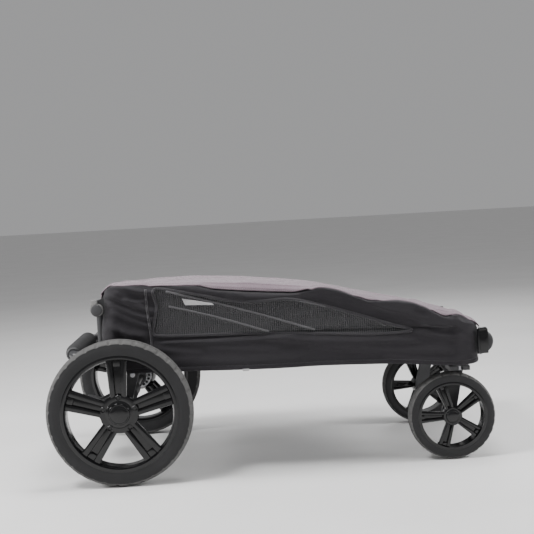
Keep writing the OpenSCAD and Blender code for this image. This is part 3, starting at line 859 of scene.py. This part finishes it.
def stitches(name, path, normals, mat=THREAD):
    """Sewing stitches along path, as one mesh of short rounded threads."""
    run = path_length(path)
    r, parts = STITCH_R, []
    at = np.arange(STITCH_PITCH / 2, run[-1] - STITCH_LENGTH, STITCH_PITCH)

    def sample(s, values):
        return np.array([np.interp(s, run, values[:, k]) for k in range(3)]).T

    starts, ends, lifts = sample(at, path), sample(at + STITCH_LENGTH, path), sample(at, normals)
    for a, b, nrm in zip(starts, ends, lifts):
        d = (b - a) / np.linalg.norm(b - a)
        side = np.cross(d, nrm)
        mid = (a + b) / 2 + nrm * r
        v = [c + (side * math.cos(q) + nrm * math.sin(q)) * r * k
             for c, k in ((a, 0.5), (mid, 1.1), (b, 0.5)) for q in (0.785, 2.356, 3.927, 5.498)]
        f = [(i + j, i + (j + 1) % 4, i + 4 + (j + 1) % 4, i + 4 + j) for i in (0, 4) for j in range(4)]
        parts.append((v, f + [(3, 2, 1, 0), (8, 9, 10, 11)]))
    obj = mesh_from(name, *join(parts), mat)
    fix_normals(obj)
    return obj


def make_wall_trim():
    for name, side in SIDES:
        loop = WINDOW_CURVE[::-1] if side > 0 else WINDOW_CURVE
        path = wall_point(loop[:, 0], loop[:, 1], side, 0.0006)
        normal = facing(len(path), side)
        sewn(strip(f"window_binding_{name}", path, normal, 0.0052, TAPE, 0.0010))
        centre = loop.mean(0)
        for tag, grow in (("outer", 1.012), ("inner", 0.99)):
            x, z = (centre + (loop - centre) * grow).T
            sewn(stitches(f"window_stitches_{tag}_{name}", wall_point(x, z, side, 0.0022), normal))
        for k, (x0, z0, x1, z1, _, half) in enumerate(NET_LINES):
            if half > 4:                # a wide crease in the net, without a painted highlight strip
                continue
            # a strip of lighter cloth along the crease: a painted highlight
            t = np.linspace(0.03, 0.97, 60)
            x = MM * (x0 + (x1 - x0) * t)
            z = MM * (z0 + (z1 - z0) * t) + 0.003 * np.sin(t * math.pi)
            sewn(strip(f"net_crease_highlight_{k}_{name}", wall_point(x, z, side, 0.0004), facing(60, side), 0.0028, NET_CREASE_HIGHLIGHT,
                       0.0010, closed=False))
        # The seam beside the window, from the hem up to the roof.
        t = np.linspace(0.0, 1.0, 70)
        path = wall_point(-0.2515 + 0.003 * np.sin(t * 5), 0.232 + (0.402 - 0.232) * t, side, 0.0003)
        sewn(strip(f"rear_seam_{name}", path, facing(70, side), 0.0034, TAPE, 0.0012, closed=False))


def make_hem():
    """The bound lower edge, all round, with its stitching."""
    ring = perimeter(0.006)
    normal = np.column_stack([ring[:, 2:], np.zeros(len(ring))])

    def path(above, lift):
        z = low_z(ring[:, 0]) + above
        return np.column_stack([ring[:, :2], z]) + normal * (round_bulge(ring, z, above / 0.17) + lift)[:, None]

    sewn(strip("hem_binding", path(0.004, 0.0004), normal, 0.008, BLACK, 0.0009))
    sewn(stitches("hem_stitches", path(0.0095, 0.002), normal))


def roof_stitches(name, path, normal):
    seam = stitches(name, path, np.tile(normal, (len(path), 1)), PALE)
    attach(seam, "roof_frame")


def make_roof():
    """The roof's cloth: its top, the drape on each side down to the wavy hem, and a turned-down rear edge."""
    cols = 260
    drape, top = 16, 56
    rear_hem = np.linspace(0.013, 0.0008, 5)
    xs = np.concatenate([np.full(5, ROOF_REAR), np.linspace(ROOF_REAR, ROOF_FRONT, cols - 5)])
    drop = np.concatenate([rear_hem, np.zeros(cols - 5)])
    v = np.concatenate([np.linspace(-2, -1, drape, endpoint=False), np.linspace(-1, 1, top, endpoint=False),
                        np.linspace(1, 2, drape)])
    x = np.broadcast_to(xs[None, :], (len(v), cols)).copy()
    vv = np.broadcast_to(v[:, None], x.shape)
    side = np.where(vv < 0, -1, 1)
    corner = 1 - 0.10 * smooth01((-0.300 - x) / 0.045) ** 1.5
    y_top = np.clip(vv, -1, 1) * ROOF_HALF * corner
    z_top = roof_skin(x, y_top)
    down = np.clip(np.abs(vv) - 1, 0, 1)
    hem = np.minimum(hem_by_side(x, side), z_top - 0.0035)
    z = z_top + (hem - z_top) * down
    out = 0.0105 * smooth01(down * 1.5) + 0.002 * down
    pull = np.minimum(ridge_sum(x, hem, FOLDS), 0.003) * down
    y = y_top + side * (out * (down > 0) + pull)
    y = y + side * 0.0016 * ripple(x * 2.2, vv * 0.1, 21) * smooth01(down * 2)
    z = z - drop * (down <= 0)
    x = x - np.clip(drop, 0, 0.002) * (down <= 0)
    verts = np.stack([x, y, z], -1).reshape(-1, 3)
    uv = np.stack(np.broadcast_arrays(x - drop, vv * ROOF_HALF), -1).reshape(-1, 2)
    roof = mesh_from("roof_panel", verts, grid_faces(len(v), cols), GREY, uv)
    fix_normals(roof)
    thicken(roof, ROOF_THICK)
    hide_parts("roof_cloth")
    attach(roof, "roof_frame")
    for seam_y in ROOF_SEAMS:
        row = int(np.argmin(np.abs(v * ROOF_HALF - seam_y)))
        for tag, shift in (("a", -0.004), ("b", 0.004)):
            path = np.stack([x[row], y[row] + shift, z[row] + 0.0003], -1)[8:-4]
            roof_stitches(f"roof_seam_{row}_{tag}", path, (0.0, 0.0, 1.0))
    for name, s in SIDES:
        row = 1 if s < 0 else len(v) - 2
        path = np.stack([x[row], y[row] + s * 0.0006, z[row] + 0.002], -1)
        roof_stitches(f"roof_hem_stitches_{name}", path[2:-2], (0.0, s, 0.0))


# ---------------------------------------- padded floor
CHANNEL_PITCH = 0.0906                  # between the pad's sewn channels


def make_pad():
    """The quilted pad on the floor board: puffed by a cloth simulation, then sewn into channels."""
    low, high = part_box("floor_pad")
    middle, size = (low + high) / 2, high - low
    inset = (0.006, 0.006, 0.003)
    bm = bmesh.new()
    bmesh.ops.create_cube(bm, size=1)
    for vert in bm.verts:
        vert.co = Vector([middle[k] + vert.co[k] * (size[k] - 2 * inset[k]) for k in range(3)])
    bmesh.ops.bevel(bm, geom=list(bm.edges), offset=0.006, segments=3, profile=0.5, affect="EDGES")
    mesh = bpy.data.meshes.new("floor_pad_quilted")
    bm.to_mesh(mesh)
    bm.free()
    pad = link("floor_pad_quilted", mesh, PAD)
    remesh = pad.modifiers.new("remesh", "REMESH")
    remesh.mode, remesh.voxel_size = "VOXEL", 0.006
    bake_modifiers(pad)
    rest = np.array([v.co for v in pad.data.vertices])
    sim = pad.modifiers.new("Cloth", "CLOTH")
    sim.settings.use_pressure = True
    sim.settings.uniform_pressure_force = 4
    sim.settings.effector_weights.gravity = 0
    sim.settings.quality = 4
    sim.collision_settings.use_self_collision = False
    for step in range(1, 21):
        bpy.context.scene.frame_set(step)
    bake_modifiers(pad)
    bpy.context.scene.frame_set(1)
    now = np.array([v.co for v in pad.data.vertices])
    move = now - rest
    far = np.linalg.norm(move, axis=1)
    most = 0.006
    move *= np.minimum(1, most / np.maximum(far, 1e-9))[:, None]
    now = rest + move
    # Sewn channels across the pad, and flat where it lies on the board.
    x, y, z = now.T
    top = smooth01((z - middle.z) / 0.006)
    channel = np.exp(-((((x - low.x) % CHANNEL_PITCH) - CHANNEL_PITCH / 2) / 0.004) ** 2)
    channel = np.maximum(channel, np.exp(-((y / 0.004) ** 2)) * (np.abs(y) < 0.02))
    border = np.minimum.reduce([x - low.x, high.x - x, y - low.y, high.y - y])
    crown = 0.0035 * smooth01((border - 0.004) / 0.05)
    z += top * (crown - 0.005 * channel * smooth01(border / 0.02))
    np.maximum(z, low.z + 0.0002, out=z)
    pad.data.vertices.foreach_set("co", now.ravel())
    pad.data.polygons.foreach_set("use_smooth", [True] * len(pad.data.polygons))
    sub = pad.modifiers.new("sub", "SUBSURF")
    sub.levels = sub.render_levels = 1
    bake_modifiers(pad)
    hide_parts("floor_pad")
    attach(pad, "chassis")


# ---------------------------------------- handle, pivot ends and small fittings
def along_y(part, x, z, y, side=1):
    """Local +Z becomes the outward Y direction on that side, from y."""
    v = np.asarray(part[0], float)
    return np.stack([v[:, 0] * side + x, side * (v[:, 2] + y), v[:, 1] + z], -1), part[1]


def rounded_block(x0, x1, z0, z1, thick, bevel, side, y):
    """A block lying against the side wall: outline in X and Z, thick outwards from y."""
    outline = [(x0, z0), (x1, z0), (x1, z1), (x0, z1)]
    v, f = prism(outline, lambda _: thick, lambda _: 0.0, bevel)
    v = np.asarray(v, float)
    return np.stack([v[:, 0], side * (v[:, 2] + y), v[:, 1]], -1), f


GRIP_BORE = 0.0092


def make_grip():
    """The ribbed foam grip, thinner at its ends, with a ring at each end."""
    half, pitch, groove = 0.128, 0.0056, 0.0013
    profile = [(GRIP_BORE, -half - 0.002)]
    count = int(2 * half / pitch)
    for i in range(count + 1):
        z = -half + i * 2 * half / count
        r = float(0.0165 + 0.003 * smooth01((1 - abs(z) / half) * 6))
        profile += [(r - groove, z - pitch * 0.30), (r, z - pitch * 0.12), (r, z + pitch * 0.12),
                    (r - groove, z + pitch * 0.30)]
    profile.append((GRIP_BORE, half + 0.002))
    part = along_y(lathe(profile, 64), GRIP_X, GRIP_Z, 0)
    solid("handle_grip_ribbed", part, FOAM, "handle", ["handle_grip"], 60)
    ring = [(0.0091, 0), (0.0135, 0), (0.015, 0.002), (0.015, 0.006), (0.0125, 0.0085), (0.0091, 0.0085)]
    for name, side in SIDES:
        part = along_y(lathe(ring, 48), GRIP_X, GRIP_Z, 0.1285, side)
        solid(f"grip_end_ring_{name}", part, MOULD, "handle")


def make_pivot_ends():
    collar = [(0.0101, 0), (0.0125, 0), (0.0132, 0.001), (0.0132, 0.0085), (0.0125, 0.0095), (0.0101, 0.0095)]
    dome = [(0.0002, 0), (0.0117, 0), (0.0117, 0.0012), (0.0108, 0.0026), (0.008, 0.0036), (0.0002, 0.004)]
    for name, side in SIDES:
        saddle = rounded_block(-0.3715, -0.357, 0.368, 0.386, 0.012, 0.003, side, 0.2185)
        part = join([along_y(lathe(collar, 48), PIVOT_X, PIVOT_Z, 0.2175, side), saddle])
        solid(f"pivot_collar_{name}", part, COLLAR, "roof_frame")
        solid(f"pivot_end_cap_{name}", along_y(lathe(dome, 48), PIVOT_X, PIVOT_Z, 0.2319, side), MOULD,
              "roof_frame")


def make_fittings():
    for name, side in SIDES:
        clip = join([rounded_block(0.436, 0.458, 0.227, 0.279, 0.010, 0.002, side, 0.230),
                     rounded_block(0.4385, 0.4555, 0.2755, 0.282, 0.0125, 0.0015, side, 0.230),
                     rounded_block(0.440, 0.454, 0.233, 0.268, 0.0118, 0.0012, side, 0.230)])
        solid(f"hub_clip_{name}", clip, GLOSS, "chassis")
        ring = [(0.0105, 0), (0.0225, 0), (0.0225, 0.0012), (0.0212, 0.0022), (0.0125, 0.0022), (0.0105, 0.0012)]
        solid(f"hub_face_ring_{name}", along_y(lathe(ring, 64), HUB[0], HUB[1], 0.2279, side), MOULD,
              "chassis")
        tab = rounded_block(-0.062, -0.048, 0.2185, 0.2235, 0.0016, 0.0004, side, 0.2300)
        solid(f"hem_tab_{name}", tab, PALE, "chassis")
        # A plain pale tab sewn to the net.
        across, up = np.linspace(0, 1, 24), np.linspace(0, 1, 8)[:, None]
        top_z, low_edge = 0.3785 - 0.0125 * across, 0.3645 - 0.003 * across
        x = -0.180 + 0.062 * across + 0.006 * (1 - up) * (1 - 0.3 * across)
        verts = wall_point(x, low_edge + (top_z - low_edge) * up, side, 0.0012).reshape(-1, 3)
        uv = np.stack(np.broadcast_arrays(across * 0.066, up * 0.014), -1).reshape(-1, 2)
        flap = mesh_from(f"net_tab_{name}", verts, grid_faces(8, 24), PALE, uv)
        fix_normals(flap)
        thicken(flap, 0.0008)
        stretches(flap)


# ---------------------------------------- the scene
make_camera()
for lamp in LAMPS:
    area_light(*lamp)
world = bpy.data.worlds.new("studio")
bpy.context.scene.world = world
world.use_nodes = True
sky = world.node_tree.nodes["Background"].inputs
sky["Color"].default_value = (0.86, 0.86, 0.87, 1)
sky["Strength"].default_value = 0.42
ground = Mat("floor_pale", (0.72, 0.715, 0.71), 0.75)
ground.set(Base_Color=ground.ramp(ground.noise(3, 5), (0.3, (0.70, 0.695, 0.69)), (0.7, (0.74, 0.735, 0.73))))
floor = mesh_from("studio_floor", [(-30, -30, 0), (30, -30, 0), (30, 30, 0), (-30, 30, 0)], [(0, 1, 2, 3)],
                  ground.mat)

make_wheels()
make_walls()
make_wall_trim()
make_hem()
make_roof()
make_pad()
make_grip()
make_pivot_ends()
make_fittings()
